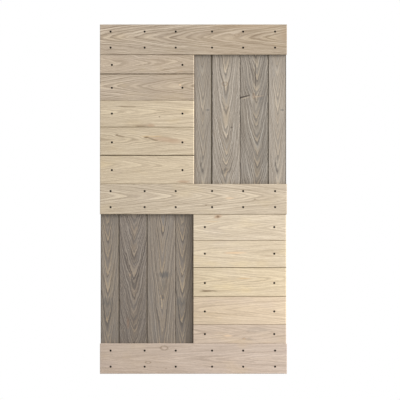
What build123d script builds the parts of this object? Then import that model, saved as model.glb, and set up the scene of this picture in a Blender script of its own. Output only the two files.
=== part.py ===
"""A planked sliding door leaf, made of two layers of milled softwood boards.

The back layer is a panel of upright boards that lock together with tongues and
grooves, with a broad V between their faces. The front layer is screwed on over it:
a top, a middle and a bottom rail across the full width, a field of level planks in
the upper left quarter, and another in the lower right quarter. The other two
quarters stay open, so the upright boards show there, one layer further back.

Units are millimetres. X runs to the right as the door is seen from the front, Y runs
into the door and Z runs up. The origin is on the front face of the top rail, at the
middle of its length and height, where the hanging straps are bolted on.
"""

import os

from build123d import *

# Whole door
DOOR_WIDTH = 1142.0
DOOR_HEIGHT = 2134.0
LAYER_THICKNESS = 18.0  # both layers are planed to the same thickness
SIDE_REVEAL = 4.0  # the back panel stops this far short of the rail ends

# Rails
RAIL_HEIGHT = 185.0
RAIL_EASE = 2.0  # chamfer all round the front face
RAIL_SCREW_COLUMNS = (-506.0, -298.0, -108.0, 114.0, 304.0, 499.0)  # X of each column
RAIL_SCREW_ROW = 49.0  # the two rows lie this far above and below the rail's middle

# Level planks, listed from the top down
UPPER_PLANK_WIDTHS = (117.0, 162.0, 163.0, 173.0, 174.5)
LOWER_PLANK_WIDTHS = (161.0, 165.0, 176.5, 171.0, 116.0)
PLANK_EASE = 2.0  # the same on each plank
PLANK_GAP = 1.2  # open line left between the faces of neighbouring planks
CENTRE_LAP = 4.0  # the upper planks run this far past the door's centre line
UPPER_SCREW_COLUMNS = (-498.0, -67.0)  # X of each column
LOWER_SCREW_COLUMNS = (70.0, 494.0)
UPPER_SCREW_DROPS = (3.5, 4.0, -1.0, 6.5, 2.5)  # below the middle of each plank
LOWER_SCREW_DROPS = (-2.0, -2.5, 6.0, 5.5, 0.5)

# Upright boards of the back panel: whole boards, with ripped ones at both sides and
# at the centre
WHOLE_BOARD_WIDTH = 172.0
BOARD_GAP = 1.0
BOARD_V = 4.5  # chamfer that makes half of the V on the front
BACK_EASE = 2.0  # smaller chamfer along the back edges of every milled piece

# Tongue and groove
TONGUE_LENGTH = 8.0
TONGUE_THICKNESS = 6.0
TONGUE_SETBACK = 7.0  # from the front face to the tongue
TONGUE_LEAD = 1.0  # chamfer on the tongue's nose
GROOVE_DEPTH = 8.6
GROOVE_PLAY = 0.2  # on each side of the tongue

# Screw seats in the front layer. Below its seat each screw fills its own hole.
SEAT_RADIUS = 6.2
SEAT_DEPTH = 3.2

# Heights and sides that follow from the above
DOOR_TOP = RAIL_HEIGHT / 2
DOOR_FOOT = DOOR_TOP - DOOR_HEIGHT
HALF_WIDTH = DOOR_WIDTH / 2
FIELD_HEIGHT = (DOOR_HEIGHT - 3 * RAIL_HEIGHT) / 2
MIDDLE_RAIL_Z = DOOR_TOP - RAIL_HEIGHT - FIELD_HEIGHT - RAIL_HEIGHT / 2
BOTTOM_RAIL_Z = DOOR_FOOT + RAIL_HEIGHT / 2
UPPER_FIELD_TOP = DOOR_TOP - RAIL_HEIGHT
LOWER_FIELD_TOP = MIDDLE_RAIL_Z - RAIL_HEIGHT / 2
PANEL_HALF_WIDTH = HALF_WIDTH - SIDE_REVEAL
RIPPED_BOARD_WIDTH = (PANEL_HALF_WIDTH - 2 * WHOLE_BOARD_WIDTH) / 2


def level_face(x_middle, z_middle):
    """Front face plane of a level board: x along the grain to the right, y up."""
    return Plane(origin=(x_middle, 0, z_middle), x_dir=(1, 0, 0), z_dir=(0, -1, 0))


def upright_face(x_middle):
    """Front face plane of an upright board: x along the grain, down, and y to the right."""
    middle = (x_middle, LAYER_THICKNESS, (DOOR_TOP + DOOR_FOOT) / 2)
    return Plane(origin=middle, x_dir=(0, 0, -1), z_dir=(0, -1, 0))


def milled_board(label, face, length, width, front_edge, ends_eased, tongue, groove, screws=()):
    """One planed board behind its face plane, tongue on its +y edge and groove on its -y edge.

    front_edge is the chamfer along both edges of the front face, and round its ends too
    where ends_eased is true. screws lists the seats, as places in the face plane.
    """
    grain = Axis(face.origin, face.x_dir)
    with BuildPart() as board:
        with BuildSketch(face):
            Rectangle(length, width)
        extrude(amount=-LAYER_THICKNESS)
        front_face, *_, back_face = board.faces().sort_by(Axis.Y)
        front_rim = front_face.edges() if ends_eased else front_face.edges().filter_by(grain)
        chamfer(front_rim, length=front_edge)
        chamfer(back_face.edges().filter_by(grain), length=BACK_EASE)

        if tongue:
            with BuildSketch(face.offset(-TONGUE_SETBACK)):
                with Locations((0, (width + TONGUE_LENGTH) / 2)):
                    Rectangle(length, TONGUE_LENGTH)
            extrude(amount=-TONGUE_THICKNESS)
            nose = board.faces().sort_by(Axis(face.origin, face.y_dir))[-1]
            chamfer(nose.edges().filter_by(grain), length=TONGUE_LEAD)

        if groove:
            with BuildSketch(face.offset(GROOVE_PLAY - TONGUE_SETBACK)):
                with Locations((0, (GROOVE_DEPTH - width) / 2)):
                    Rectangle(length, GROOVE_DEPTH)
            extrude(amount=-(TONGUE_THICKNESS + 2 * GROOVE_PLAY), mode=Mode.SUBTRACT)

        if screws:
            with Locations(face):
                with Locations(*screws):
                    Hole(radius=SEAT_RADIUS, depth=SEAT_DEPTH)

    board.part.label = label
    return board.part


def rail(label, z_middle):
    """A full-width rail with two rows of screws. Its edges are plain."""
    seats = [(x, row) for x in RAIL_SCREW_COLUMNS for row in (-RAIL_SCREW_ROW, RAIL_SCREW_ROW)]
    face = level_face(0, z_middle)
    return milled_board(
        label,
        face,
        DOOR_WIDTH,
        RAIL_HEIGHT,
        RAIL_EASE,
        ends_eased=True,
        tongue=False,
        groove=False,
        screws=seats,
    )


def plank_field(name, top, left, right, widths, columns, drops):
    """The level planks that fill one quarter, from the top down, with tongues up."""
    planks = []
    upper_edge = top
    for number, (width, drop) in enumerate(zip(widths, drops), start=1):
        x_middle = (left + right) / 2
        face = level_face(x_middle, upper_edge - width / 2)
        planks.append(
            milled_board(
                f"{name}_{number}",
                face,
                right - left,
                width - PLANK_GAP,
                PLANK_EASE,
                ends_eased=True,
                tongue=number > 1,
                groove=number < len(widths),
                screws=[(x - x_middle, -drop) for x in columns],
            )
        )
        upper_edge -= width
    return planks


def back_panel():
    """The upright boards from left to right, the same pattern in each half of the door."""
    half = (RIPPED_BOARD_WIDTH, WHOLE_BOARD_WIDTH, WHOLE_BOARD_WIDTH, RIPPED_BOARD_WIDTH)
    widths = half + half
    boards = []
    left_edge = -PANEL_HALF_WIDTH
    for number, width in enumerate(widths, start=1):
        boards.append(
            milled_board(
                f"back_board_{number}",
                upright_face(left_edge + width / 2),
                DOOR_HEIGHT,
                width - BOARD_GAP,
                BOARD_V,
                ends_eased=False,
                tongue=number < len(widths),
                groove=number > 1,
            )
        )
        left_edge += width
    return boards


door = [
    rail("top_rail", 0),
    rail("middle_rail", MIDDLE_RAIL_Z),
    rail("bottom_rail", BOTTOM_RAIL_Z),
]
door += plank_field(
    "upper_plank",
    UPPER_FIELD_TOP,
    -HALF_WIDTH,
    CENTRE_LAP,
    UPPER_PLANK_WIDTHS,
    UPPER_SCREW_COLUMNS,
    UPPER_SCREW_DROPS,
)
door += plank_field(
    "lower_plank",
    LOWER_FIELD_TOP,
    0,
    PANEL_HALF_WIDTH,
    LOWER_PLANK_WIDTHS,
    LOWER_SCREW_COLUMNS,
    LOWER_SCREW_DROPS,
)
door += back_panel()

os.makedirs("parts", exist_ok=True)
for piece in door:
    export_step(piece, f"parts/{piece.label}.step")
    print(f"{piece.label}: {piece.volume / 1e6:.3f} litres, valid {piece.is_valid}")
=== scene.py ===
# %% [markdown]
# This lesson dresses a planked sliding door leaf in Blender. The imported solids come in
# as a fixed frame, so every board already has its place and its real size in metres.
# The front faces -Y, Z runs up, and the door's own origin is on the top rail.

# %% Load the solids
import math
import random
from collections import namedtuple
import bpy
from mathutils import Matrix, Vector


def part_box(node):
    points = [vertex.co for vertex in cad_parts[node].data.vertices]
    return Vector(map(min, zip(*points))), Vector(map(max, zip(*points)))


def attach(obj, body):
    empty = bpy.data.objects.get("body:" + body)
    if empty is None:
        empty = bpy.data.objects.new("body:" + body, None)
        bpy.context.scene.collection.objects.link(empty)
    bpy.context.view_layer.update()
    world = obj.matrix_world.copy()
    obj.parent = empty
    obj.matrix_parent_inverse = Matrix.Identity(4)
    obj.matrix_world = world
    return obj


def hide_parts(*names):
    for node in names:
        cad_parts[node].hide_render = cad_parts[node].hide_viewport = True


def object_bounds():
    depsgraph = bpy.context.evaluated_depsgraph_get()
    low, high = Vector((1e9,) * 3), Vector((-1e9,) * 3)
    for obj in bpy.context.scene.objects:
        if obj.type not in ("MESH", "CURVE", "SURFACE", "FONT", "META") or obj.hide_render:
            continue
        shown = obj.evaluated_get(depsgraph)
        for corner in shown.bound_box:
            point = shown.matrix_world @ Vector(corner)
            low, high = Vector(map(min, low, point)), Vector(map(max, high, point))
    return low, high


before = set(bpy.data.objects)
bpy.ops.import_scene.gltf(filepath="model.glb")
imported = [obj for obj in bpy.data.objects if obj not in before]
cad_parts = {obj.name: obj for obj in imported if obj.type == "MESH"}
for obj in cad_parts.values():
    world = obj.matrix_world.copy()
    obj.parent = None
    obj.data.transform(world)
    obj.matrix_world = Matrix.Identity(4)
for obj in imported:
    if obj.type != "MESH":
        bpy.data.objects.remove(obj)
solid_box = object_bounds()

from types import SimpleNamespace

import bpy
from mathutils import Matrix, Vector

scene = bpy.context.scene
print("solids:", len(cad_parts), "box:", solid_box)

# %% [markdown]
# The camera looks straight at the front, with no perspective, as a catalogue view does.
# An orthographic camera gives that: its scale is simply how many metres fit across the
# picture. The door is a little to the left of the middle and a little low.

# %% Camera
METRES_ACROSS = 2.4436
CAMERA_RIGHT_OF_CENTRE = 0.0403
CAMERA_BELOW_TOP_RAIL = 0.9799
CAMERA_DISTANCE = 4.0

camera_data = bpy.data.cameras.new("camera")
camera_data.type = "ORTHO"
camera_data.ortho_scale = METRES_ACROSS
camera = bpy.data.objects.new("camera", camera_data)
camera.location = (CAMERA_RIGHT_OF_CENTRE, -CAMERA_DISTANCE, -CAMERA_BELOW_TOP_RAIL)
camera.rotation_euler = (math.radians(90), 0, 0)
scene.collection.objects.link(camera)
scene.camera = camera
scene.view_settings.view_transform = "Standard"
print("metres across the picture:", METRES_ACROSS)

# %% [markdown]
# A node tree is easier to read when adding a node takes one line, and when sums are
# written as sums. A Value below is one output of a node, and each sign between two
# values adds one maths node. A Bench adds nodes to a tree and links their inputs.


# %% A helper for node trees
def sign(operation, turned=False):
    """A method that adds one maths node, with its two values turned round if it says so."""

    def method(self, *others):
        values = (*others, self) if turned else (self, *others)
        return self.bench.math(operation, *values)

    return method


class Value:
    """One output of a node, by its number or name. Square brackets give another one."""

    def __init__(self, bench, node, key=0):
        self.bench, self.node, self.key = bench, node, key

    def __getitem__(self, key):
        return Value(self.bench, self.node, key)

    __add__ = sign("ADD")
    __sub__ = sign("SUBTRACT")
    __rsub__ = sign("SUBTRACT", turned=True)
    __mul__ = sign("MULTIPLY")
    __truediv__ = sign("DIVIDE")
    __rtruediv__ = sign("DIVIDE", turned=True)
    __pow__ = sign("POWER")
    __gt__ = sign("GREATER_THAN")
    __lt__ = sign("LESS_THAN")
    __abs__ = sign("ABSOLUTE")


class Bench:
    """Adds and links nodes in one tree."""

    def __init__(self, tree):
        self.tree = tree

    def plug(self, socket, value):
        if isinstance(value, Value):
            self.tree.links.new(value.node.outputs[value.key], socket)
        else:
            socket.default_value = value

    def add(self, kind, inputs=(), **settings):
        """Add a node. Its inputs come by name or number, or as a list in their order."""
        node = self.tree.nodes.new(kind)
        for name, value in settings.items():
            setattr(node, name, value)
        for key, value in inputs.items() if isinstance(inputs, dict) else enumerate(inputs):
            self.plug(node.inputs[key], value)
        return Value(self, node)

    def math(self, operation, *values):
        return self.add("ShaderNodeMath", values, operation=operation)

    def vector_math(self, operation, *values):
        return self.add("ShaderNodeVectorMath", values, operation=operation)

    def length(self, vector):
        return self.vector_math("LENGTH", vector)["Value"]

    def split(self, vector):
        parts = self.add("ShaderNodeSeparateXYZ", [vector])
        return parts[0], parts[1], parts[2]

    def join(self, x, y, z):
        return self.add("ShaderNodeCombineXYZ", (x, y, z))

    def smooth(self, value, low, high):
        """0 below low and 1 above high, with a soft step between them."""
        inputs = {"Value": value, "From Min": low, "From Max": high}
        return self.add("ShaderNodeMapRange", inputs, interpolation_type="SMOOTHSTEP")

    def noise(self, vector, scales, detail=2.0, roughness=0.5):
        """Smooth noise from 0 to 1, with so many waves in a metre along each axis."""
        scaled = self.vector_math("MULTIPLY", vector, scales)
        inputs = {"Vector": scaled, "Scale": 1.0, "Detail": detail, "Roughness": roughness}
        return self.add("ShaderNodeTexNoise", inputs)

    def swing(self, vector, scales, amount, detail=2.0):
        """Smooth noise that goes both ways from zero, by up to about the amount."""
        return (self.noise(vector, scales, detail) - 0.5) * (amount * 2.0)

    def seeded(self, vector, step, seed):
        """The place, moved by a seed, so that no two boards get the same noise."""
        move = self.add("ShaderNodeVectorMath", {0: step, "Scale": seed}, operation="SCALE")
        return self.vector_math("ADD", vector, move)

    def mix(self, factor, first, second, blend_type="MIX"):
        inputs = {0: factor, 6: first, 7: second}
        return self.add("ShaderNodeMix", inputs, data_type="RGBA", blend_type=blend_type)[2]

    def put_out(self, values):
        """Plug in a group's outputs, say how large it is, and return it."""
        self.add("NodeGroupOutput", values)
        print(f"{self.tree.name}: {len(self.tree.nodes)} nodes")
        return self.tree


GEOMETRY, OBJECT, MATERIAL = "NodeSocketGeometry", "NodeSocketObject", "NodeSocketMaterial"
FLOAT, VECTOR, COLOUR = "NodeSocketFloat", "NodeSocketVector", "NodeSocketColor"
SOCKET_OF = {float: FLOAT, int: "NodeSocketInt"}


def sockets(kind, names):
    """The same kind of socket for each name in a list."""
    return dict.fromkeys(names.split(", "), kind)


def new_group(name, inputs, outputs, kind="ShaderNodeTree"):
    """A node group's bench and inputs. An input is given as its kind of socket, or as its
    first value if it has one."""
    tree = bpy.data.node_groups.new(name, kind)
    for label, given in inputs.items():
        socket_type = given if isinstance(given, str) else SOCKET_OF[type(given)]
        socket = tree.interface.new_socket(label, in_out="INPUT", socket_type=socket_type)
        if given is not socket_type:
            socket.default_value = given
    for label, socket_type in outputs.items():
        tree.interface.new_socket(label, in_out="OUTPUT", socket_type=socket_type)
    bench = Bench(tree)
    return bench, bench.add("NodeGroupInput")


# %% [markdown]
# The door is screwed together from milled boards. A few sizes of the milling are needed
# here again, because a finer mesh replaces each solid: the tongue, the groove, the eased
# edges and the screw seats. Everything else is read from the frame's boxes.

# %% Sizes of the milling, in metres
TONGUE_LENGTH = 0.008
TONGUE_THICKNESS = 0.006
TONGUE_SETBACK = 0.007
TONGUE_LEAD = 0.001
GROOVE_DEPTH = 0.0086
GROOVE_PLAY = 0.0002
BACK_EASE = 0.002
FRONT_EASE = 0.002
V_EASE = 0.0045
SEAT_RADIUS = 0.0062
SEAT_DEPTH = 0.0032

RAILS = ("top_rail", "middle_rail", "bottom_rail")
UPPER_PLANKS = tuple(f"upper_plank_{number}" for number in range(1, 6))
LOWER_PLANKS = tuple(f"lower_plank_{number}" for number in range(1, 6))
BACK_BOARDS = tuple(f"back_board_{number}" for number in range(1, 9))

# %% [markdown]
# Every board is described in its own directions: along the grain, across it, and out of
# the front face. A level board's grain runs to the right, and an upright board's runs
# down. A matrix takes a point from those directions to the door, for the mesh as well as
# for the wood's pattern, so the two always agree.


# %% Where each board lies
LEVEL_TURN = Matrix(((1, 0, 0), (0, 0, -1), (0, 1, 0)))
UPRIGHT_TURN = Matrix(((0, 1, 0), (0, 0, -1), (-1, 0, 0)))


def describe_board(name):
    """Measure one board from its solid's box."""
    low, high = (Vector(corner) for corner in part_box(name))
    upright = name in BACK_BOARDS
    tongue = name in UPPER_PLANKS[1:] + LOWER_PLANKS[1:] + BACK_BOARDS[:-1]
    groove = name in UPPER_PLANKS[:-1] + LOWER_PLANKS[:-1] + BACK_BOARDS[1:]
    across_axis, along_axis = (0, 2) if upright else (2, 0)
    high[across_axis] -= TONGUE_LENGTH if tongue else 0.0
    centre = (low + high) / 2
    centre.y = low.y
    turn = UPRIGHT_TURN if upright else LEVEL_TURN
    size = high - low
    return SimpleNamespace(
        name=name, upright=upright, tongue=tongue, groove=groove, centre=centre,
        half_length=size[along_axis] / 2, half_width=size[across_axis] / 2, thickness=size.y,
        turn=turn.to_euler(), place=Matrix.Translation(centre) @ turn.to_4x4(),
    )


boards = {name: describe_board(name) for name in RAILS + UPPER_PLANKS + LOWER_PLANKS + BACK_BOARDS}
for board in boards.values():
    print(f"{board.name}: {2 * board.half_length:.4f} long, {2 * board.half_width:.4f} wide")

# %% [markdown]
# The screws stand in straight columns: six pairs along each rail, and one screw near
# each end of a plank. A column is given as its X on the door. A plank's two screws are
# a little below or above its middle line, by its drop.

# %% Screw places
RAIL_COLUMNS = (-0.506, -0.298, -0.108, 0.114, 0.304, 0.499)
RAIL_ROW = 0.049
UPPER_COLUMNS = (-0.498, -0.067)
LOWER_COLUMNS = (0.070, 0.494)
UPPER_DROPS = (0.0035, 0.004, -0.001, 0.0065, 0.0025)
LOWER_DROPS = (-0.002, -0.0025, 0.006, 0.0055, 0.0005)

screw_places = {name: [] for name in boards}
for names, columns, rows in (
    (RAILS, RAIL_COLUMNS, [(RAIL_ROW, -RAIL_ROW)] * len(RAILS)),
    (UPPER_PLANKS, UPPER_COLUMNS, [(drop,) for drop in UPPER_DROPS]),
    (LOWER_PLANKS, LOWER_COLUMNS, [(drop,) for drop in LOWER_DROPS]),
):
    for name, drops in zip(names, rows):
        middle = boards[name].centre.z
        screw_places[name] += [Vector((x, 0, middle - drop)) for x in columns for drop in drops]
print("screws:", sum(len(places) for places in screw_places.values()))

# %% [markdown]
# A board is a milled section pulled along its length, which is a rule, so Geometry Nodes
# make it. The section is drawn first, square-edged, with rows of points close to the
# front edges. The tree then pulls it along, with cross-sections that crowd towards the
# ends, and cuts the eased edges by moving points back.


# %% The milled section
EDGE_ROWS = (0.0, 0.25, 0.5, 0.75, 1.0, 1.3, 1.8)


def face_rows(half_width, ease_plus, ease_minus):
    """Places across a face, from the plus edge to the minus edge."""
    plus = [half_width - row * ease_plus for row in EDGE_ROWS]
    minus = [row * ease_minus - half_width for row in reversed(EDGE_ROWS)]
    return plus + [half_width / 3, -half_width / 3] + minus


def section_points(board, ease_plus, ease_minus):
    """The closed outline as (across, out), anticlockwise, starting at the front plus edge."""
    half = board.half_width
    tongue_front = -TONGUE_SETBACK
    tongue_back = tongue_front - TONGUE_THICKNESS
    points = [(across, 0.0) for across in face_rows(half, ease_plus, ease_minus)]
    if board.groove:
        inner = GROOVE_DEPTH - half
        points += [(-half, tongue_front + GROOVE_PLAY), (inner, tongue_front + GROOVE_PLAY)]
        points += [(inner, tongue_back - GROOVE_PLAY), (-half, tongue_back - GROOVE_PLAY)]
    points += [(-across, -board.thickness) for across in face_rows(half, BACK_EASE, BACK_EASE)]
    if board.tongue:
        nose = half + TONGUE_LENGTH
        points += [(half, tongue_back), (nose - TONGUE_LEAD, tongue_back)]
        points += [(nose, tongue_back + TONGUE_LEAD), (nose, tongue_front - TONGUE_LEAD)]
        points += [(nose - TONGUE_LEAD, tongue_front), (half, tongue_front)]
    return points


def make_section(board, ease_plus, ease_minus):
    """A closed loop of edges. A swept profile's X and Y come out as minus across and minus out."""
    points = [(-across, -out, 0.0) for across, out in section_points(board, ease_plus, ease_minus)]
    edges = [(number, (number + 1) % len(points)) for number in range(len(points))]
    mesh = bpy.data.meshes.new("section")
    mesh.from_pydata(points, edges, [])
    return bpy.data.objects.new("section", mesh)


# %% [markdown]
# There are two geometry trees, one for the boards and one for the screws. Both cut other
# shapes out, keep clear edges sharp and end as one plain mesh, so they share functions.


# %% Parts that both geometry trees use
def shade_smooth(bench, mesh, sharp_from):
    """Smooth shading, with sharp lines where two faces meet at a clear angle."""
    smooth = bench.add("GeometryNodeSetShadeSmooth", {"Geometry": mesh})
    sharp = bench.add("GeometryNodeInputMeshEdgeAngle") > math.radians(sharp_from)
    inputs = {"Geometry": smooth, "Selection": sharp, "Shade Smooth": False}
    return bench.add("GeometryNodeSetShadeSmooth", inputs, domain="EDGE")


def one_mesh(bench, geometry, material):
    """The end of a tree: one plain mesh, with its material."""
    whole = bench.add("GeometryNodeRealizeInstances", [geometry])
    return bench.add("GeometryNodeSetMaterial", {"Geometry": whole, "Material": material})


def bore(bench, mesh, tools, **inputs):
    """Take the tools' shapes away from a mesh."""
    inputs = {"Mesh 1": mesh, "Mesh 2": tools, **inputs}
    return bench.add("GeometryNodeMeshBoolean", inputs, operation="DIFFERENCE", solver="EXACT")


# %% [markdown]
# The board tree starts from one loose point for each screw seat. It sweeps the section,
# eases the edges, and bores the seats with cylinders that stand on those points. An
# eased edge is a 45 degree cut whose depth wanders a little along the board, because
# hands and sandpaper never take the same amount twice.


# %% The board tree
CROWDING = 1.5
WANDER_SCALES = (11, 20, 0)
EASE_SOFTNESS = 0.0007
ON_FACE = 0.0001
SIDES_OF_ROUND = 32


def ease_cut(bench, width, distance):
    """How deep an eased edge cuts at a distance from the edge: a slope with a soft end."""
    return bench.math("SMOOTH_MAX", width - distance, 0.0, EASE_SOFTNESS)


bench, start = new_group(
    "milled board",
    {
        "Seats": GEOMETRY, "Section": OBJECT, "Wood": MATERIAL, "Half length": 0.5, "Half width": 0.08,
        "Thickness": 0.018, "Ease plus": FRONT_EASE, "Ease minus": FRONT_EASE, "Ease ends": FRONT_EASE,
        "Cross-sections": 150, "Wear": 0.25, "Seed": 0.0,
    },
    {"Board": GEOMETRY},
    "GeometryNodeTree",
)

# Sweep the section along a line. Its points crowd towards the ends, where the eased edge
# needs them.
line = bench.add("GeometryNodeCurvePrimitiveLine", {"Start": (-1, 0, 0), "End": (1, 0, 0)})
path = bench.add("GeometryNodeResampleCurve", {"Curve": line, "Count": start["Cross-sections"]})
share = bench.split(bench.add("GeometryNodeInputPosition"))[0]
crowded = 1.0 - (1.0 - abs(share)) ** CROWDING
reach = bench.join(crowded * bench.math("SIGN", share) * start["Half length"], 0.0, 0.0)
spaced = bench.add("GeometryNodeSetPosition", {"Geometry": path, "Position": reach})
drawn = bench.add("GeometryNodeObjectInfo", {"Object": start["Section"]})["Geometry"]
profile = bench.add("GeometryNodeMeshToCurve", {"Mesh": drawn})
swept = bench.add(
    "GeometryNodeCurveToMesh", {"Curve": spaced, "Profile Curve": profile, "Fill Caps": True}
)

# Ease the front edges, and the long back edges, by moving points into the board.
place = bench.add("GeometryNodeInputPosition")
along, across, out = bench.split(place)
from_plus = start["Half width"] - across
from_minus = start["Half width"] + across
from_tip = start["Half length"] - abs(along)
wander_place = bench.seeded(place, (1, 0, 1), start["Seed"])
wander = bench.swing(wander_place, WANDER_SCALES, 1.0, 3.0) * start["Wear"] + 1.0
lowered = 0.0
for name, distance in (("Ease plus", from_plus), ("Ease minus", from_minus), ("Ease ends", from_tip)):
    lowered = bench.math("MAXIMUM", lowered, ease_cut(bench, start[name] * wander, distance))
raised = ease_cut(bench, BACK_EASE, bench.math("MINIMUM", from_plus, from_minus))
lift = raised * (out < ON_FACE - start["Thickness"]) - lowered * (out > -ON_FACE)
eased = bench.add("GeometryNodeSetPosition", {"Geometry": swept, "Offset": bench.join(0.0, 0.0, lift)})

# Bore the screw seats, if there are any.
drill = bench.add(
    "GeometryNodeMeshCylinder",
    {"Vertices": SIDES_OF_ROUND, "Radius": SEAT_RADIUS, "Depth": 2 * SEAT_DEPTH},
)
drills = bench.add("GeometryNodeInstanceOnPoints", {"Points": start["Seats"], "Instance": drill})
bored = bore(bench, eased, bench.add("GeometryNodeRealizeInstances", [drills]))
has_seats = bench.add("GeometryNodeAttributeDomainSize", {"Geometry": start["Seats"]}) > 0.5
chosen = bench.add(
    "GeometryNodeSwitch", {"Switch": has_seats, "False": eased, "True": bored}, input_type="GEOMETRY"
)
smooth = shade_smooth(bench, chosen, 28)
board_tree = bench.put_out({"Board": one_mesh(bench, smooth, start["Wood"])})


# %% [markdown]
# A tree runs as a modifier on a mesh of loose points. What comes out is kept as a plain
# mesh, which is then put in its place on the door.


# %% Run a tree and keep its mesh
def grow(name, tree, points, values, place=Matrix.Identity(4)):
    """Run a tree on loose points and keep the result as a plain mesh in its place."""
    seed_mesh = bpy.data.meshes.new(name)
    seed_mesh.from_pydata(points, [], [])
    piece = bpy.data.objects.new(name, seed_mesh)
    scene.collection.objects.link(piece)
    modifier = piece.modifiers.new("grow", "NODES")
    modifier.node_group = tree
    for item in tree.interface.items_tree:
        if item.name in values and item.in_out == "INPUT":
            modifier[item.identifier] = values[item.name]
    evaluated = piece.evaluated_get(bpy.context.evaluated_depsgraph_get())
    mesh = bpy.data.meshes.new_from_object(evaluated)
    piece.modifiers.remove(modifier)
    piece.data = mesh
    bpy.data.meshes.remove(seed_mesh)
    mesh.name = name
    mesh.transform(place)
    return piece


# %% [markdown]
# Plain-sawn softwood shows its growth rings as long pointed arches. A tree trunk is a
# stack of slim cones, and a flat cut through them leaves those arches. So the pattern is
# not painted on: it is the distance from the trunk's heart, which lies behind the board,
# plus a little for each metre along the trunk. Noise bends it, as real trunks are bent.

# %% Growth rings
TIP_ROUND = 0.0015
DRIFT = 0.012
UNEVEN = 0.8
MIDDLE_TO_SIDE = (0.006, 0.032)

# The three numbers of each noise are its waves in a metre: along, across and out.
bench, start = new_group(
    "growth rings",
    {
        "Vector": VECTOR,
        **sockets(FLOAT, "Heart, Depth, Point, Lean, Draw in, Taper, Quicken, Ring"),
        **sockets(FLOAT, "Wave, Ripple, Shift, Seed"),
    },
    sockets(FLOAT, "Rings, Aside"),
)
seeded = bench.seeded(start["Vector"], (1.7, 2.9, 4.3), start["Seed"])
along, across, out = bench.split(start["Vector"])

# The heart wanders sideways, slowly along the board.
drift = bench.swing(seeded, (1.8, 0, 0), DRIFT)
bend = bench.swing(seeded, (8, 16, 16), start["Wave"])
sideways = across - start["Heart"] + (drift + bend)

# Adding a little to the distance from the middle line makes the arches pointed. Its
# square draws the arms in, so that they run nearly along the board at its sides.
square = sideways * sideways
apart = bench.math("SQRT", square + TIP_ROUND**2) + start["Point"] + sideways * start["Lean"]
apart = apart + square * start["Draw in"]
radius = bench.length(bench.join(0.0, apart, out + start["Depth"]))

# Tips come closer together along the board where the trunk tapers faster.
climb = along * (along * (start["Quicken"] * 0.5) + 1.0)
grown = climb * start["Taper"] + radius

# Small waves of the fibres shake the lines, mostly at the tips. No two rings are equally
# wide.
flame = bench.swing(seeded, (18, 60, 60), start["Ripple"])
saw = bench.swing(seeded, (55, 140, 140), start["Ripple"] * 0.8, 1.0)
count = (grown + (flame + saw)) / start["Ring"] + start["Shift"]
inputs = {"W": count + start["Seed"], "Scale": 0.7, "Detail": 0.0}
uneven = bench.add("ShaderNodeTexNoise", inputs, noise_dimensions="1D")
count = (uneven - 0.5) * UNEVEN + count
aside = bench.smooth(abs(sideways), *MIDDLE_TO_SIDE)
rings_group = bench.put_out({"Rings": count, "Aside": aside})

# %% [markdown]
# Each ring starts as soft early wood, which drinks the stain, and ends as a hard thin
# line of late wood, which hardly takes it. So the ring's count is turned into two masks:
# the late line, and the shade just after it. Every ring gets its own strength, and every
# few rings there is a bold one, after a year in which the tree grew slowly. A third
# output holds finer lines: noise that is stretched along the board and counts in rings
# across it, so its lines run beside the arches and never cross them.


# %% Early and late wood
def saw_tooth(bench, rings, late_span, early_span):
    """A late line that swells over its span of the ring and stops sharply, and an early
    shade that follows it and fades over its own span."""
    part = bench.math("FRACT", rings)
    late = bench.smooth(part, *late_span) * (1.0 - bench.smooth(part, 0.95, 1.0))
    early = bench.smooth(part, 0.0, 0.05) * (1.0 - bench.smooth(part, *early_span))
    return late, early


# Spans are parts of a ring, from 0 to 1.
PLAIN_LATE, PLAIN_EARLY = (0.42, 0.68), (0.25, 0.52)
BOLD_LATE_SPAN, BOLD_EARLY = 0.36, (0.05, 0.42)
WEAKEST_RING = 0.55

bench, start = new_group(
    "early and late wood",
    {"Vector": VECTOR, **sockets(FLOAT, "Rings, Per bold, Bold, Late from, Aside, Seed")},
    sockets(FLOAT, "Late, Early, Fine lines"),
)
along, _, out = bench.split(start["Vector"])
lines_place = bench.join(along, start["Rings"], out + start["Seed"])
ring_number = bench.math("FLOOR", start["Rings"]) + start["Seed"]
own = bench.add("ShaderNodeTexWhiteNoise", {"W": ring_number}, noise_dimensions="1D")["Value"]
strength = own * (1.0 - WEAKEST_RING) + WEAKEST_RING
late, early = saw_tooth(bench, start["Rings"], PLAIN_LATE, PLAIN_EARLY)
bold_span = (start["Late from"], start["Late from"] + BOLD_LATE_SPAN)
bold_rings = start["Rings"] / start["Per bold"]
bold_late, bold_early = saw_tooth(bench, bold_rings, bold_span, BOLD_EARLY)
boldness = start["Bold"] * (start["Aside"] * -0.8 + 1.0)
plainness = strength * (1.0 - boldness)
bands_group = bench.put_out({
    "Late": bold_late * boldness + late * plainness,
    "Early": bold_early * boldness + early * plainness,
    "Fine lines": bench.noise(lines_place, (3.5, 1.1, 20.0), 3.0, 0.62),
})

# %% [markdown]
# A knot is the foot of a branch. The rings swerve round it, its rim is dark and its core
# takes another colour. One group gives all three: how far the rings are pushed, the rim
# and the core. A board uses it once for each of its knots.

# %% Knots
NOT_ROUND = 0.35
PUSH_REACH = 2.6

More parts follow.
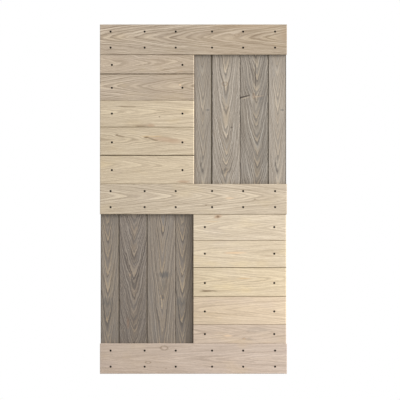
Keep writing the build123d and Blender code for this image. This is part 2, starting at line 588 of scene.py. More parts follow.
bench, start = new_group(
    "knot",
    {"Vector": VECTOR, **sockets(FLOAT, "Along, Across, Radius, Stretch, Seed")},
    sockets(FLOAT, "Push, Core, Rim"),
)
centre = bench.join(start["Along"], start["Across"], 0.0)
away = bench.vector_math("SUBTRACT", start["Vector"], centre)
away = bench.vector_math("MULTIPLY", away, bench.join(1.0 / start["Stretch"], 1.0, 0.0))
steps = bench.length(away) / start["Radius"]
seeded = bench.seeded(start["Vector"], (1, 1, 0), start["Seed"])
ragged = steps + bench.swing(seeded, (90, 90, 0), NOT_ROUND)
knot_group = bench.put_out({
    "Push": bench.math("EXPONENT", (steps / PUSH_REACH) ** 2.0 * -1.0),
    "Core": 1.0 - bench.smooth(ragged, 0.6, 1.0),
    "Rim": bench.smooth(ragged, 0.55, 0.95) * (1.0 - bench.smooth(ragged, 1.0, 1.5)),
})

# %% [markdown]
# Some boards carry a streak of resin, a blush of heartwood or a short split. Others carry
# painted shade, under a rail, beside the raised planks and round the screw seats, or
# painted light at the foot of the lower boards. All are the same thing to a shader: a
# stretched spot with a ragged edge, which another colour is mixed into. The group turns
# the spot as well, because a split can run at a slant.

# %% Streaks, blushes, splits, painted shade and painted light
bench, start = new_group(
    "streak",
    {
        "Vector": VECTOR,
        **sockets(FLOAT, "Along, Across, Half length, Half width, Slant, Ragged, Seed"),
    },
    {"Mask": FLOAT},
)
centre = bench.join(start["Along"], start["Across"], 0.0)
away = bench.vector_math("SUBTRACT", start["Vector"], centre)
inputs = {"Vector": away, "Angle": start["Slant"]}
along, across, _ = bench.split(bench.add("ShaderNodeVectorRotate", inputs, rotation_type="Z_AXIS"))
scaled = bench.join(along / start["Half length"], across / start["Half width"], 0.0)
seeded = bench.seeded(start["Vector"], (1, 1, 0), start["Seed"])
steps = bench.length(scaled) + bench.swing(seeded, (22, 130, 0), start["Ragged"], 3.0)
streak_group = bench.put_out({"Mask": 1.0 - bench.smooth(steps, 0.35, 1.05)})

# %% [markdown]
# The finish is a thin stain, rubbed on and wiped off, over wire-brushed wood. The group
# below puts it together: the wood's tone, darker early wood, paler late lines, long
# fibres, cloudy patches where more stain stayed, and darker end grain. The end bevels are
# paler, partly rubbed and partly a painted highlight. The long eased edges are darkened
# by pooled stain and painted shade, or lightened by a painted highlight. It also gives
# the brushed relief as a height for the bump.

# %% Stained and brushed softwood
END_GRAIN = (0.0002, 0.0012)
END_GRAIN_SHADE = -0.15
EASED_END = (0.0028, 0.0042)
FRINGE = 0.0016

bench, start = new_group(
    "stained softwood",
    {
        "Vector": VECTOR,
        **sockets(FLOAT, "Late, Early, Fine lines, Aside, Grain, Lines, Tilt, Half length, Half width"),
        **sockets(FLOAT, "Plus edge, Minus edge, Ends, Edge reach, Seed"),
        **sockets(COLOUR, "Base tone, Late tone, Arm tone, Early tone, Warm tone, Cool tone"),
    },
    {"Color": COLOUR, **sockets(FLOAT, "Roughness, Height")},
)
seeded = bench.seeded(start["Vector"], (3.1, 1.3, 2.7), start["Seed"])
fibres = bench.noise(seeded, (5, 115, 115), 4.0, 0.65)
flecks = bench.noise(seeded, (38, 300, 300), 3.0, 0.6)
hairs = bench.noise(seeded, (55, 1300, 1300), 2.0, 0.6)
clouds = bench.noise(seeded, (4, 10, 10), 3.0)
drag = bench.noise(seeded, (2.2, 34, 34), 2.0, 0.55)

# Cloudy patches, warm ones and cool ones.
warm = bench.smooth(clouds, 0.54, 0.70)
cool = 1.0 - bench.smooth(clouds, 0.30, 0.46)
colour = bench.mix(warm, start["Base tone"], start["Warm tone"])
colour = bench.mix(cool, colour, start["Cool tone"])

# The rings. Late lines are warmer by the middle line, where the arches are widest.
colour = bench.mix(start["Early"] * start["Grain"], colour, start["Early tone"])
line_tone = bench.mix(start["Aside"], start["Late tone"], start["Arm tone"])
colour = bench.mix(start["Late"] * start["Grain"], colour, line_tone)

# Fibres, flecks, hairs and the drag of the rag darken or lighten everything under them,
# each by its own amount.
shade = 1.0
for layer, amount in (
    (start["Fine lines"], start["Lines"]), (fibres, 0.45), (flecks, 0.38), (hairs, 0.22), (drag, 0.20),
):
    shade = (layer - 0.5) * amount + shade
darker = 1.0 - shade

# Some boards darken towards one end, and end grain drinks more stain.
along, across, _ = bench.split(start["Vector"])
shade = shade * (along / start["Half length"] * start["Tilt"] + 1.0)
from_tip = start["Half length"] - abs(along)
end_grain = 1.0 - bench.smooth(from_tip, *END_GRAIN)
shade = shade * (end_grain * END_GRAIN_SHADE + 1.0)

# Painted shade and painted highlight on the eased long edges. A tint below 1 darkens an
# edge, as stain pooled there and as the shade of a seam or groove. A tint above 1
# lightens it, as a lit bevel.
seam_stain_and_shade = 0.0
for side, tint in ((1.0, start["Plus edge"]), (-1.0, start["Minus edge"])):
    from_side = start["Half width"] - across * side
    fringe = flecks * FRINGE + (from_side - FRINGE / 2)
    near = 1.0 - bench.smooth(fringe, start["Edge reach"] * 0.55, start["Edge reach"])
    shade = shade * (near * (tint - 1.0) + 1.0)
    seam_stain_and_shade = near * bench.math("MAXIMUM", 1.0 - tint, 0.0) + seam_stain_and_shade

# The eased ends of the front face are paler, in patches: partly rubbed, and partly a
# painted highlight of a lit bevel.
near_end = 1.0 - bench.smooth(from_tip, *EASED_END)
patchy = bench.smooth(bench.noise(seeded, (30, 60, 60), 3.0), 0.25, 0.50)
shade = shade * (near_end * patchy * (start["Ends"] - 1.0) + 1.0)

# Darker fibres are a little warmer as well, and so is a darkened edge, with its pooled
# stain and its painted shade.
channels = [
    shade * (darker * warmth + 1.0) * (seam_stain_and_shade * seam_warmth + 1.0)
    for warmth, seam_warmth in ((0.10, 0.12), (0.0, 0.0), (-0.10, -0.22))
]
colour = bench.mix(1.0, colour, bench.join(*channels), "MULTIPLY")

# Brushing leaves the late wood proud and combs fine lines into the early wood.
height = hairs * 0.22 + (flecks * 0.35 + (start["Late"] * 0.50 + fibres * 0.45))
rough = (fibres - 0.5) * 0.18 + (start["Late"] * -0.12 + 0.74)
finish_group = bench.put_out({"Color": colour, "Roughness": rough, "Height": height})

# %% [markdown]
# The door has two stains. A thin whitened one on the rails and planks lets the sandy wood
# through, and a weathered grey one covers the upright boards. Boards from different trees
# take the same stain differently, so there are a few named tones of each. A tone is a
# plain linear colour. A stain says, as factors of that, how the late lines, their arms,
# the early wood, and the warm and cool patches take it.

# %% Stain tones
WHITENED = {
    "late": (1.20, 1.22, 1.20), "arm": (1.14, 1.17, 1.18), "early": (0.715, 0.69, 0.66),
    "warm": (1.05, 1.03, 0.95), "cool": (0.96, 0.96, 1.0),
}
WEATHERED = {
    "late": (1.52, 1.44, 1.29), "arm": (1.34, 1.33, 1.31), "early": (0.63, 0.62, 0.62),
    "warm": (1.05, 1.02, 0.97), "cool": (0.95, 0.98, 1.03),
}
PURPLISH = {
    **WEATHERED,
    "late": (1.54, 1.44, 1.27), "arm": (1.37, 1.35, 1.30), "early": (0.68, 0.67, 0.67),
}
SMOKED = {
    "late": (1.73, 1.57, 1.25), "arm": (1.40, 1.36, 1.24), "early": (0.605, 0.60, 0.60),
    "warm": (1.06, 1.02, 0.94), "cool": (0.94, 0.98, 1.04),
}


def tone(stain, *base):
    """The colour of each part of the wood, from a stain and its plain colour."""
    parts = {"base": (1, 1, 1), **stain}
    return {
        part: (*(channel * factor for channel, factor in zip(base, factors)), 1.0)
        for part, factors in parts.items()
    }


FAWN = tone(WHITENED, 0.493, 0.405, 0.316)
SAND = tone(WHITENED, 0.60, 0.50, 0.368)
OAT = tone(WHITENED, 0.60, 0.505, 0.390)
CREAM = tone(WHITENED, 0.70, 0.59, 0.440)
BONE = tone(WHITENED, 0.70, 0.595, 0.458)
GOLD = tone(WHITENED, 0.705, 0.588, 0.421)
BLUSH = tone(WHITENED, 0.57, 0.465, 0.375)
PEACH = tone(WHITENED, 0.70, 0.570, 0.425)
ROSE = tone(WHITENED, 0.57, 0.470, 0.396)
ASH = tone(WEATHERED, 0.339, 0.300, 0.256)
PLUM = tone(PURPLISH, 0.245, 0.212, 0.185)
SLATE = tone(SMOKED, 0.254, 0.220, 0.190)

RESIN = (0.17, 0.11, 0.06, 1.0)
PINK = (0.50, 0.365, 0.255, 1.0)
PALE = (0.80, 0.61, 0.43, 1.0)
BROWN = (0.36, 0.27, 0.19, 1.0)
AMBER = (0.72, 0.50, 0.26, 1.0)
RUST = (0.30, 0.17, 0.10, 1.0)
COOL = (0.135, 0.13, 0.125, 1.0)
# The next near-black is real splits, and painted shade on back_board_5.
SPLIT_AND_SHADE_DARK = (0.07, 0.055, 0.045, 1.0)
# The next brown is painted shade: under the top rail, beside the lower planks and round the screw seats.
PAINTED_SHADE_BROWN = (0.10, 0.075, 0.052, 1.0)

# %% [markdown]
# Now each board gets its own entry: its tone, which way its arches point, where their
# middle line lies, and the knots and streaks that stand out on it. Their places and sizes
# are in millimetres, from the board's middle, along the grain and across it. A turned
# board shows the other side of the trunk, so its rings darken towards the tips.

# %% What a look holds
KNOT_FIELDS = "along across radius colour amount rim push stretch"
STREAK_FIELDS = "along across half_length half_width colour amount ragged slant groove"
Knot = namedtuple("Knot", KNOT_FIELDS, defaults=(PINK, 0.4, 0.5, 1.5, 1.6))
Streak = namedtuple("Streak", STREAK_FIELDS, defaults=(0.5, 0.0, 0.0))
# edges are the tints of the plus and minus eased long edges: painted shade in seams and grooves with some
# pooled stain, or a painted highlight on a lit bevel.
PLAIN_LOOK = dict(
    per_bold=None, spacing=0.053, bold=0.5, late_from=0.48, ring=0.0107, depth=0.035, point=0.016,
    lean=0.0, draw_in=3.0, quicken=0.0, wave=0.015, ripple=0.004, tilt=0.0, turned=False, grain=0.8,
    lines=0.6, shade=1.0, edges=(0.8, 0.8), reach=1.25, ends=1.08, end_ease=FRONT_EASE, knots=(),
    streaks=(),
)


def in_metres(spot):
    """The same knot or streak, with the lengths before its colour in metres."""
    lengths = spot.index(spot.colour)
    return type(spot)(*(length / 1000 for length in spot[:lengths]), *spot[lengths:])


def look(tone, points_to, heart, tips, tip_at, seed, **changes):
    """heart is where the arches' middle line lies across the board, tips is how far apart
    the bold arches' tips are, and tip_at the place of one of them, all in millimetres.
    The changes to a plain look are in metres. spacing is about how far apart the tips of
    the plain rings are."""
    heart, tips, tip_at = heart / 1000, tips / 1000, tip_at / 1000
    its_look = SimpleNamespace(tone=tone, heart=heart, tip_at=tip_at, seed=seed, **{**PLAIN_LOOK, **changes})
    if its_look.per_bold is None:
        its_look.per_bold = max(2.0, float(round(tips / its_look.spacing)))
    its_look.taper = points_to * its_look.per_bold * its_look.ring / tips
    its_look.knots = [in_metres(spot) for spot in its_look.knots]
    its_look.streaks = [in_metres(spot) for spot in its_look.streaks]
    return its_look


BACKWARD = -1
FORWARD = 1
KNOTTY_PATCH = [
    Streak(-200, -4, 66, 14, COOL, 0.38, 1.8), Streak(-215, -8, 20, 6, SPLIT_AND_SHADE_DARK, 0.5, 1.5, slant=0.25),
    Streak(-172, 0, 22, 6, SPLIT_AND_SHADE_DARK, 0.5, 1.5, slant=-0.2),
]
NARROW = dict(
    depth=0.022, point=0.018, per_bold=1.3, bold=0.7, late_from=0.58, draw_in=7.0,
    ring=0.0118, wave=0.007, ripple=0.0030, grain=0.85, lines=0.85,
)
NARROW_SMOKED = dict(
    depth=0.025, point=0.018, per_bold=1.6, bold=0.75, draw_in=8.0, ring=0.0117,
    wave=0.009, late_from=0.56, grain=1.0, lines=0.95,
)
SMOKED_PATCHES = [
    Streak(115, 0, 60, 150, COOL, 0.2), Streak(625, -20, 34, 48, COOL, 0.5, 1.3),
    Streak(680, -10, 60, 50, COOL, 0.22, 0.9), Streak(870, 0, 190, 150, COOL, 0.18),
]
SIDE_SPOT = Streak(-544.5, 31, 7, 15, COOL, 0.7, 0.8)
# A painted shadow under the top rail, on the upright boards above the planks.
PAINTED_SHADOW_UNDER_RAIL = Streak(-870, 0, 85, 300, PAINTED_SHADE_BROWN, 0.18, 0.2)
# Painted light at the foot of the lower upright boards, which thins the shade beside the bottom rail.
PAINTED_LIGHT_AT_FOOT = Streak(1075, 0, 80, 300, ASH["late"], 0.22, 0.6)
LEVEL = dict(wave=0.007, ripple=0.0025)
# ends lightens the eased ends: partly rubbing, partly a painted highlight of a lit bevel.
UPPER_END = dict(ends=1.35, end_ease=0.0036)
LOWER_END = dict(ends=1.25, end_ease=0.0024, **LEVEL)

# %% [markdown]
# The table itself has an entry for each board, from the top of the door to its foot, and
# then for each upright board.

# %% The look of each board
looks = {
    "top_rail": look(
        FAWN, BACKWARD, 12, 120, -515, 1.0, turned=True, lean=-0.25, draw_in=6.5, grain=1.2, lines=1.6,
        ring=0.0165, per_bold=1.25, **LEVEL, shade=0.878, tilt=-0.2, edges=(0.9, 0.5),
        knots=[Knot(266, 28, 9, amount=0.15, rim=0.55, push=0.5)],
        streaks=[
            Streak(560, 30, 35, 60, BROWN, 0.4, 0.8), Streak(300, 82, 260, 20, BROWN, 0.35, 0.6),
            Streak(330, 0, 450, 300, AMBER, 0.08),
        ],
    ),
    "upper_plank_1": look(
        FAWN, FORWARD, 12, 165, 180, 2.0, grain=0.72, lines=0.9, tilt=-0.12, spacing=0.08,
        edges=(0.45, 0.3), **UPPER_END,
        streaks=[
            Streak(110, -30, 45, 4, RESIN, 0.3, slant=0.12), Streak(180, 0, 220, 300, AMBER, 0.05),
            Streak(204, -40, 26, 8, PINK, 0.35),
        ],
    ),
    "upper_plank_2": look(
        FAWN, BACKWARD, 7, 112, -177, 3.0, turned=True, grain=1.1, lines=1.1, ring=0.015, per_bold=1.25,
        draw_in=6.5, **LEVEL, shade=0.965, tilt=-0.075, edges=(0.35, 0.95), reach=2.2, **UPPER_END,
        knots=[Knot(202, 14, 7, PALE, 0.6, rim=0.15, push=0.4)],
        streaks=[Streak(200, 0, 200, 300, AMBER, 0.06)],
    ),
    "upper_plank_3": look(
        SAND, FORWARD, 12, 300, 100, 4.0, grain=0.66, lines=0.75, tilt=0.025, spacing=0.12, bold=0.45,
        **LEVEL, edges=(1.05, 0.7), **UPPER_END,
        knots=[Knot(76, -19, 3.4, RESIN, 0.7, push=0.3)],
        streaks=[
            Streak(-136, 44, 75, 4, RESIN, 0.65, 0.8), Streak(-155, 18, 35, 3, RESIN, 0.35),
            Streak(-20, -72, 70, 16, BROWN, 0.5, 0.8), Streak(25, -70, 30, 14, PINK, 0.8, 0.8),
            Streak(-40, -77, 40, 5, RESIN, 0.35),
        ],
    ),
    "upper_plank_4": look(
        SAND, FORWARD, 10, 220, -67, 5.0, grain=0.72, lines=0.75, spacing=0.11, bold=0.45, **LEVEL,
        shade=0.985, tilt=0.01, edges=(0.75, 0.35), reach=2.2, **UPPER_END,
        knots=[
            Knot(-4, 24, 6.5, RESIN, 0.8, push=1.0, stretch=2.4),
            Knot(-184, 38, 5, RESIN, 0.65, push=0.8),
        ],
        streaks=[
            Streak(125, 8, 125, 20, PINK, 0.8, 0.7, slant=0.1),
            Streak(30, 13, 44, 7.5, RESIN, 0.65, 0.8, slant=0.28),
            Streak(-160, 31, 34, 8, RESIN, 0.45, 0.9, slant=0.25), Streak(30, 30, 90, 6, AMBER, 0.35),
        ],
    ),
    "upper_plank_5": look(
        SAND, FORWARD, 30, 260, 230, 6.0, grain=0.55, lines=0.75, bold=0.4, **LEVEL, spacing=0.1,
        shade=1.02, edges=(0.25, 0.85), reach=1.6, **UPPER_END,
        streaks=[Streak(223, -74, 45, 13, PINK, 0.85, 0.8), Streak(223, -78, 30, 6, RESIN, 0.25, 0.8)],
    ),
    "middle_rail": look(
        OAT, FORWARD, 19, 135, 138, 7.0, grain=0.85, lines=1.0, ring=0.012, per_bold=1.5, draw_in=3.5,
        bold=0.45, wave=0.005, ripple=0.0018, shade=0.955, edges=(0.8, 0.35),
        knots=[Knot(77, -37, 3.2, RESIN, 0.6, push=0.3), Knot(376, 0, 3.2, RESIN, 0.5, push=0.4)],
        streaks=[Streak(223, 6, 32, 9, PALE, 0.6)],
    ),
    "lower_plank_1": look(
        BONE, BACKWARD, -4, 200, -145, 8.0, grain=0.55, shade=0.94, spacing=0.13, bold=0.35,
        edges=(0.55, 0.7), **LOWER_END,
        streaks=[
            Streak(-134, 68, 34, 15, PINK, 1.0, 0.8), Streak(-134, 66, 13, 9, RESIN, 0.65),
            Streak(-180, 35, 60, 5, AMBER, 0.3),
        ],
    ),
    "lower_plank_2": look(
        CREAM, BACKWARD, 7, 280, -50, 9.0, grain=0.38, shade=0.965, spacing=0.15, bold=0.4,
        edges=(0.85, 0.45), **LOWER_END,
        streaks=[
            Streak(-28, 8, 85, 10, PALE, 0.75), Streak(-28, 8, 60, 5, AMBER, 0.35),
            Streak(160, -12, 60, 6, PINK, 0.3, slant=-0.1),
        ],
    ),
    "lower_plank_3": look(
        GOLD, FORWARD, 20, 260, -100, 10.0, grain=0.48, shade=0.98, spacing=0.14, bold=0.35, tilt=0.05,
        edges=(0.45, 0.65), **LOWER_END,
        streaks=[
            Streak(-192, -55, 62, 5, RESIN, 0.95, 0.9), Streak(-215, -50, 30, 3, RESIN, 0.6, slant=0.15),
            Streak(30, 22, 60, 6, AMBER, 0.45),
        ],
    ),
    "lower_plank_4": look(
        PEACH, BACKWARD, 4, 240, -40, 11.0, grain=0.42, shade=0.97, spacing=0.13, bold=0.35, tilt=0.06,
        edges=(0.7, 0.85), **LOWER_END,
    ),
    "lower_plank_5": look(
        BLUSH, FORWARD, 10, 200, -30, 12.0, grain=0.42, shade=1.05, spacing=0.09, edges=(0.85, 0.6),
        **LOWER_END,
        knots=[Knot(28, -30, 8, PINK, 0.65, rim=0.2, push=0.8, stretch=1.3)],
        streaks=[
            Streak(-72, -11, 30, 11, PALE, 0.7, 0.8), Streak(20, -26, 14, 4, RUST, 0.35, 0.9, slant=-0.5),
            Streak(60, -33, 34, 10, COOL, 0.22, 1.2), Streak(110, 25, 100, 22, COOL, 0.18),
        ],
    ),
    "bottom_rail": look(
        ROSE, BACKWARD, 0, 300, 50, 13.0, grain=0.45, shade=0.985, tilt=0.045, spacing=0.15, bold=0.4,
        **LEVEL, edges=(1.4, 0.9),
        knots=[
            Knot(-178, 65, 12, ROSE["base"], 0.3, rim=0.95, push=0.6, stretch=1.75),
            Knot(-277, -23, 7, ROSE["base"], 0.3, rim=0.95, push=0.6, stretch=2.2),
            Knot(-167, -60, 4, RESIN, 0.35, rim=0.3, push=0.3),
        ],
        streaks=[Streak(365, -17, 35, 3, RESIN, 0.3, slant=-0.3), Streak(-450, 0, 420, 300, AMBER, 0.05)],
    ),
    "back_board_1": look(
        SLATE, FORWARD, -12, 100, 360, 21.0, edges=(0.75, 0.85), **NARROW_SMOKED,
        streaks=[*SMOKED_PATCHES, PAINTED_LIGHT_AT_FOOT],
    ),
    "back_board_2": look(
        PLUM, FORWARD, 6, 122, 355, 22.0, shade=0.96, tilt=-0.2, per_bold=2.8, ring=0.013, draw_in=4.0,
        ripple=0.006, depth=0.032, point=0.016, bold=0.4, grain=1.1, lines=1.2, edges=(0.65, 0.55),
        knots=[Knot(464, -19, 7, PINK, 0.35, rim=0.4, push=0.6)],
        streaks=[Streak(760, -30, 45, 12, RUST, 0.3, 0.9), PAINTED_LIGHT_AT_FOOT],
    ),
    "back_board_3": look(
        SLATE, FORWARD, 8, 120, 450, 23.0, shade=1.045, tilt=-0.08, edges=(1.15, 0.9), depth=0.022,
        point=0.02, bold=0.7, late_from=0.62, per_bold=1.5, ring=0.012, draw_in=6.0, wave=0.01,
        ripple=0.0035, grain=0.95, lines=0.9,
        knots=[Knot(600, 10, 8, COOL, 0.8, rim=0.8, push=0.5)],
        streaks=[
            Streak(462, 22, 26, 44, COOL, 0.75, 0.9), Streak(520, 14, 50, 26, COOL, 0.45, 0.9), PAINTED_LIGHT_AT_FOOT,
        ],
    ),
    "back_board_4": look(
        SLATE, FORWARD, -12, 100, 360, 21.0, shade=0.94, tilt=-0.08, edges=(0.7, 1.5), **NARROW_SMOKED,
        # The long dark streak at the right edge is a painted shadow of the lower planks.
        streaks=[*SMOKED_PATCHES, Streak(550, 24, 1200, 28, PAINTED_SHADE_BROWN, 0.3, 0.15), PAINTED_LIGHT_AT_FOOT],
    ),
    "back_board_5": look(
        ASH, FORWARD, 2, 92, -542, 29.0, shade=0.915, tilt=0.02, edges=(0.3, 0.95), **NARROW,
        # The long dark streak at the left edge is painted shade beside the ends of the upper planks.
        streaks=[*KNOTTY_PATCH, SIDE_SPOT, PAINTED_SHADOW_UNDER_RAIL, Streak(-380, -49, 900, 11, SPLIT_AND_SHADE_DARK, 0.42, 0.1)],
    ),
    "back_board_6": look(
        ASH, FORWARD, 1, 69, -190, 26.0, quicken=0.6, shade=0.955, edges=(1.2, 0.2), depth=0.03,
        point=0.02, bold=0.7, per_bold=1.85, ring=0.0115, draw_in=4.5, wave=0.012, ripple=0.0045,
        grain=1.1, lines=1.4,
        knots=[
            Knot(-704, -6, 16.5, COOL, 0.15, rim=0.85, push=0.35, stretch=0.66),
            Knot(-178, 0, 10, ASH["early"], 0.25, rim=0.4, push=0.9),
        ],
        streaks=[
            Streak(-438, 37, 6, 9, SPLIT_AND_SHADE_DARK, 0.6, 0.9), Streak(-170, -10, 30, 14, COOL, 0.5, 1.5, slant=0.5),
            Streak(-180, 0, 10, 20, SPLIT_AND_SHADE_DARK, 0.4, 1.5, slant=-0.3), PAINTED_SHADOW_UNDER_RAIL,
        ],
    ),
    "back_board_7": look(
        ASH, FORWARD, 17, 75, -428, 27.0, shade=0.748, tilt=-0.06, edges=(0.8, 1.1), depth=0.032,
        point=0.018, per_bold=1.55, ring=0.013, draw_in=4.5, wave=0.016, ripple=0.0045, bold=0.7,
        grain=1.15, lines=1.5,
        knots=[Knot(-630, -1, 10, RUST, 0.2, rim=0.7, push=0.9)],
        streaks=[
            Streak(-756, 9, 120, 2.7, SPLIT_AND_SHADE_DARK, 0.95, 0.15, groove=1.0),
            Streak(-628, -51, 42, 4.8, SPLIT_AND_SHADE_DARK, 1.0, 0.2, slant=1.3, groove=1.0),
            Streak(-621, -78, 22, 7, SPLIT_AND_SHADE_DARK, 1.0, 0.3, slant=1.3, groove=1.0),
            Streak(-618, -50, 36, 4.2, ASH["late"], 0.5, 0.3, slant=1.3),
            Streak(-615, 40, 16, 34, COOL, 0.35, 0.9, slant=-0.2),
            Streak(-628, 30, 4, 40, PINK, 0.5, 0.5, slant=-0.15),
            Streak(-470, 58, 1500, 45, COOL, 0.18, 0.3),
        ],
    ),
    "back_board_8": look(
        ASH, FORWARD, 4, 92, -542, 29.0, shade=1.02, tilt=0.02, edges=(0.12, 0.25), **NARROW,
        streaks=[*KNOTTY_PATCH, SIDE_SPOT, PAINTED_SHADOW_UNDER_RAIL],
    ),
}
print("looks:", len(looks), "knots:", sum(len(its_look.knots) for its_look in looks.values()))

# %% [markdown]
# The board's material joins those groups. Object coordinates are turned into the board's
# own directions by a Mapping node, which undoes the place and turn of the board.


# %% Board materials
RELIEF_DEPTH = 0.0006
RELIEF_STRENGTH = 0.8
WOOD_SHEEN = 0.3


def new_material(name):
    """An empty material, and its bench."""
    material = bpy.data.materials.new(name)
    material.use_nodes = True
    material.node_tree.nodes.clear()
    return material, Bench(material.node_tree)


def surface(bench, colour, rough, sheen, relief):
    """The end of a material: one plain shader, over a relief of fine bumps."""
    height, depth, strength = relief
    bump = bench.add("ShaderNodeBump", {"Height": height, "Distance": depth, "Strength": strength})
    inputs = {"Base Color": colour, "Roughness": rough, "Specular IOR Level": sheen, "Normal": bump}
    bench.add("ShaderNodeOutputMaterial", {"Surface": bench.add("ShaderNodeBsdfPrincipled", inputs)})


def group_node(bench, tree, *sources, **values):
    """A node of a group. Each input has the name of a value: "Draw in" is draw_in."""
    for source in reversed(sources):
        values = {**source, **values}
    node = bench.add("ShaderNodeGroup", node_tree=tree)
    for socket in node.node.inputs:
        bench.plug(socket, values[socket.name.lower().replace(" ", "_")])
    return node


def ring_shift(its_look):
    """The shift that brings one bold tip to the place that the look names."""
    middle = math.hypot(its_look.point + TIP_ROUND, its_look.depth)
    climb = its_look.tip_at * (1 + its_look.quicken * its_look.tip_at / 2)
    return -((middle + its_look.taper * climb) / its_look.ring) % its_look.per_bold


def board_material(board, its_look, ease):
    material, bench = new_material(f"wood of {board.name}")
    coordinates = bench.add("ShaderNodeTexCoord")["Object"]
    inputs = {"Vector": coordinates, "Location": board.centre, "Rotation": board.turn}
    vector = bench.add("ShaderNodeMapping", inputs, vector_type="TEXTURE")
    seed = its_look.seed

    shared = {**vars(its_look), "vector": vector}
    grown = group_node(bench, rings_group, shared, shift=ring_shift(its_look))
    rings = grown["Rings"]
    knots = []
    for number, its_knot in enumerate(its_look.knots):
        node = group_node(bench, knot_group, its_knot._asdict(), vector=vector, seed=seed + number)
        rings = node["Push"] * its_knot.push + rings
        knots.append((its_knot, node))
    if its_look.turned:
        rings = rings * -1.0
    shared["aside"] = grown["Aside"]
    bands = group_node(bench, bands_group, shared, rings=rings)

    tones = {
        f"{part}_tone": (*(channel * its_look.shade for channel in colour[:3]), 1.0)
        for part, colour in its_look.tone.items()
    }
    finish = group_node(
        bench, finish_group, shared, tones,
        late=bands["Late"], early=bands["Early"], fine_lines=bands["Fine lines"],
        half_length=board.half_length, half_width=board.half_width,
        plus_edge=its_look.edges[0], minus_edge=its_look.edges[1], edge_reach=ease * its_look.reach,
    )
    colour, height = finish["Color"], finish["Height"]
    for its_knot, node in knots:
        colour = bench.mix(node["Core"] * its_knot.amount, colour, its_knot.colour)
        rim_colour = bench.mix(0.5, colour, RESIN)
        colour = bench.mix(node["Rim"] * its_knot.rim, colour, rim_colour)
    for number, its_streak in enumerate(its_look.streaks):
        node = group_node(bench, streak_group, its_streak._asdict(), vector=vector, seed=seed + number)
        colour = bench.mix(node["Mask"] * its_streak.amount, colour, its_streak.colour)
        if its_streak.groove:
            height = node["Mask"] * -its_streak.groove + height
    surface(bench, colour, finish["Roughness"], WOOD_SHEEN, (height, RELIEF_DEPTH, RELIEF_STRENGTH))
    return material


# %% [markdown]
# With the tree and the materials ready, the boards are made in one loop. Each starts from
# its screw seats as loose points, in the board's own directions, and replaces its solid.
# The spacing of the cross-sections keeps every board well under a hundred thousand faces.

# %% Make the boards
UPRIGHT_SPACING, LEVEL_SPACING = 0.011, 0.008
EASE_SPREAD = (0.85, 1.15)
SEAT_SHADE_RADIUS = 0.0084

random.seed(11)
for board in boards.values():
    its_look = looks[board.name]
    ease = V_EASE if board.upright else FRONT_EASE
    ease_plus = ease * random.uniform(*EASE_SPREAD)
    ease_minus = ease * random.uniform(*EASE_SPREAD)
    section = make_section(board, ease_plus, ease_minus)
    to_board = board.place.inverted()
    seats = [to_board @ place for place in screw_places[board.name]]
    # A dark ring round each screw seat is painted shade, as if the seat were deeper.
    painted_seat_shade = [Streak(x, y, SEAT_SHADE_RADIUS, SEAT_SHADE_RADIUS, PAINTED_SHADE_BROWN, 0.9, ragged=0.1) for x, y, _ in seats]
    its_look.streaks = [*its_look.streaks, *painted_seat_shade]
    spacing = UPRIGHT_SPACING if board.upright else LEVEL_SPACING
    piece = grow(
        board.name + "_milled",
        board_tree,
        seats,
        {
            "Section": section, "Half length": board.half_length, "Half width": board.half_width,
            "Thickness": board.thickness, "Ease plus": ease_plus, "Ease minus": ease_minus,
            "Ease ends": 0.0 if board.upright else its_look.end_ease, "Seed": its_look.seed,
            "Cross-sections": round(2 * CROWDING * board.half_length / spacing),
            "Wood": board_material(board, its_look, ease),
        },
        board.place,
    )
    bpy.data.objects.remove(section)
    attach(piece, "root")
    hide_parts(board.name)
    print(f"{piece.name}: {len(piece.data.polygons)} faces")

# %% [markdown]
# The screws have flat dark heads with a cross-shaped recess, driven just below the wood.
# Geometry Nodes put one head on each seat. The head is a cylinder whose rim is turned
# down, two tapered bars cut the recess, and each head is turned by a random angle.

# %% The screw heads
HEAD_RADIUS = 0.0061
HEAD_HEIGHT = 0.0025
RIM_ROUND = 0.0005
RECESS_LENGTH = 0.0056
RECESS_WIDTH = 0.0011
RECESS_DEPTH = 0.0016
RECESS_TAPER = 0.35

bench, start = new_group(
    "screw heads",
    {"Seats": GEOMETRY, "Radius": HEAD_RADIUS, "Height": HEAD_HEIGHT, "Seed": 3, "Paint": MATERIAL},
    {"Screws": GEOMETRY},
    "GeometryNodeTree",
)
blank = bench.add(
    "GeometryNodeMeshCylinder",
    {
        "Vertices": SIDES_OF_ROUND, "Side Segments": 2, "Fill Segments": 6,
        "Radius": start["Radius"], "Depth": start["Height"],
    },
)

# A shallow dome, with the rim turned down.
x, y, z = bench.split(bench.add("GeometryNodeInputPosition"))
share = bench.length(bench.join(x, y, 0.0)) / start["Radius"]
fall = bench.join(0.0, 0.0, share**6.0 * -RIM_ROUND * (z > 0.0))
domed = bench.add("GeometryNodeSetPosition", {"Geometry": blank, "Offset": fall})

# Two crossed bars, narrower towards their foot, cut the recess.
bars = bench.add("GeometryNodeJoinGeometry")
for size in ((RECESS_LENGTH, RECESS_WIDTH), (RECESS_WIDTH, RECESS_LENGTH)):
    bar = bench.add("GeometryNodeMeshCube", {"Size": (*size, 2 * RECESS_DEPTH)})
    x, y, z = bench.split(bench.add("GeometryNodeInputPosition"))
    taper = z * (RECESS_TAPER / RECESS_DEPTH) + (1.0 - RECESS_TAPER)
    narrowed = {"Geometry": bar, "Position": bench.join(x * taper, y * taper, z)}
    bench.plug(bars.node.inputs[0], bench.add("GeometryNodeSetPosition", narrowed))
top = bench.join(0.0, 0.0, start["Height"] * 0.5)
raised = bench.add("GeometryNodeTransform", {"Geometry": bars, "Translation": top})
head = bore(bench, domed, raised, **{"Self Intersection": True})

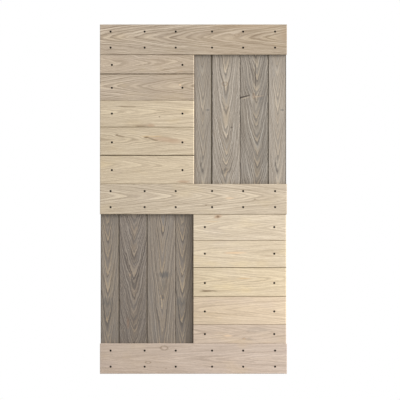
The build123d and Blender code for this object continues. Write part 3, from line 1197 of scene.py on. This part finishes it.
turn = bench.add("FunctionNodeRandomValue", {3: math.tau, "Seed": start["Seed"]}, data_type="FLOAT")[1]
facing = bench.join(math.radians(90), turn, 0.0)
heads = bench.add(
    "GeometryNodeInstanceOnPoints",
    {"Points": start["Seats"], "Instance": shade_smooth(bench, head, 35), "Rotation": facing},
)
screw_tree = bench.put_out({"Screws": one_mesh(bench, heads, start["Paint"])})

# %% [markdown]
# The heads are coated in a dull brown-black, thinner in patches, where a driver and the
# wood have rubbed it down to dark metal.

# %% Coat and drive the screws
COATING = (0.006, 0.005, 0.004, 1)
THIN_COATING = (0.016, 0.012, 0.009, 1)
RUBBED_METAL = (0.045, 0.035, 0.028, 1)

coating, bench = new_material("dark screw coating")
place = bench.add("ShaderNodeTexCoord")["Object"]
mottle = bench.noise(place, (900, 900, 900), 3.0)
rubbed = bench.smooth(bench.noise(place, (260, 260, 260)), 0.52, 0.7)
colour = bench.mix(mottle, COATING, THIN_COATING)
colour = bench.mix(rubbed * 0.4, colour, RUBBED_METAL)
surface(bench, colour, mottle * 0.25 + 0.45, 0.12, (mottle, 0.0001, 0.5))

head_middle = SEAT_DEPTH - HEAD_HEIGHT / 2
places = [
    place + Vector((0, head_middle, 0)) for group in screw_places.values() for place in group
]
screws = grow("screws", screw_tree, places, {"Paint": coating})
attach(screws, "root")
print("screw faces:", len(screws.data.polygons))

# %% [markdown]
# The stage is a plain pale floor at the foot of the door. The background is white because
# the world is white to the rays that see it, from the camera or in a gloss or glass, while
# the light it sheds is softer. Seen straight on, the floor is edge-on and doesn't show.

# %% Floor and world
FLOOR_SIZE = 12.0
FLOOR_GREY = (0.86, 0.86, 0.86, 1)
WORLD_STRENGTH = 0.48
WARM_WHITE = (1.0, 0.985, 0.96)

foot = solid_box[0][2]
half_floor = FLOOR_SIZE / 2
corners = [(x * half_floor, y * half_floor, foot) for x, y in ((-1, -1), (1, -1), (1, 1), (-1, 1))]
floor_mesh = bpy.data.meshes.new("floor")
floor_mesh.from_pydata(corners, [], [(0, 1, 2, 3)])
floor = bpy.data.objects.new("floor", floor_mesh)
scene.collection.objects.link(floor)
floor_paint, bench = new_material("pale floor")
shader = bench.add("ShaderNodeBsdfPrincipled", {"Base Color": FLOOR_GREY, "Roughness": 0.9})
bench.add("ShaderNodeOutputMaterial", {"Surface": shader})
floor_mesh.materials.append(floor_paint)

world = bpy.data.worlds.new("soft room")
scene.world = world
world.use_nodes = True
world.node_tree.nodes.clear()
bench = Bench(world.node_tree)
ray = bench.add("ShaderNodeLightPath")
seen = bench.math("MAXIMUM", ray["Is Camera Ray"], ray["Is Glossy Ray"])
seen = bench.math("MAXIMUM", seen, ray["Is Transmission Ray"])
soft = bench.add("ShaderNodeBackground", {"Color": (*WARM_WHITE, 1), "Strength": WORLD_STRENGTH})
white = bench.add("ShaderNodeBackground", {"Color": (1, 1, 1, 1), "Strength": 1.0})
choice = bench.add("ShaderNodeMixShader", (seen, soft, white))
bench.add("ShaderNodeOutputWorld", {"Surface": choice})
print("floor at", foot, "world strength", WORLD_STRENGTH)

# %% [markdown]
# One large soft lamp stands to the right, in front and above, well to the side so that
# the planks throw a soft shade on the boards behind them and every bevel shows.

# %% Lamp
LAMP_PLACE = Vector((4.45, -2.57, 2.12))
LAMP_SIZE = 3.0
LAMP_POWER = 365.0

lamp_data = bpy.data.lights.new("key lamp", "AREA")
lamp_data.shape = "SQUARE"
lamp_data.size = LAMP_SIZE
lamp_data.energy = LAMP_POWER
lamp_data.color = WARM_WHITE
lamp = bpy.data.objects.new("key lamp", lamp_data)
lamp.location = LAMP_PLACE
door_middle = Vector((0.0, 0.0, (solid_box[0][2] + solid_box[1][2]) / 2))
lamp.rotation_euler = (door_middle - LAMP_PLACE).to_track_quat("-Z", "Y").to_euler()
scene.collection.objects.link(lamp)
print("lamp power:", LAMP_POWER)

# %% [markdown]
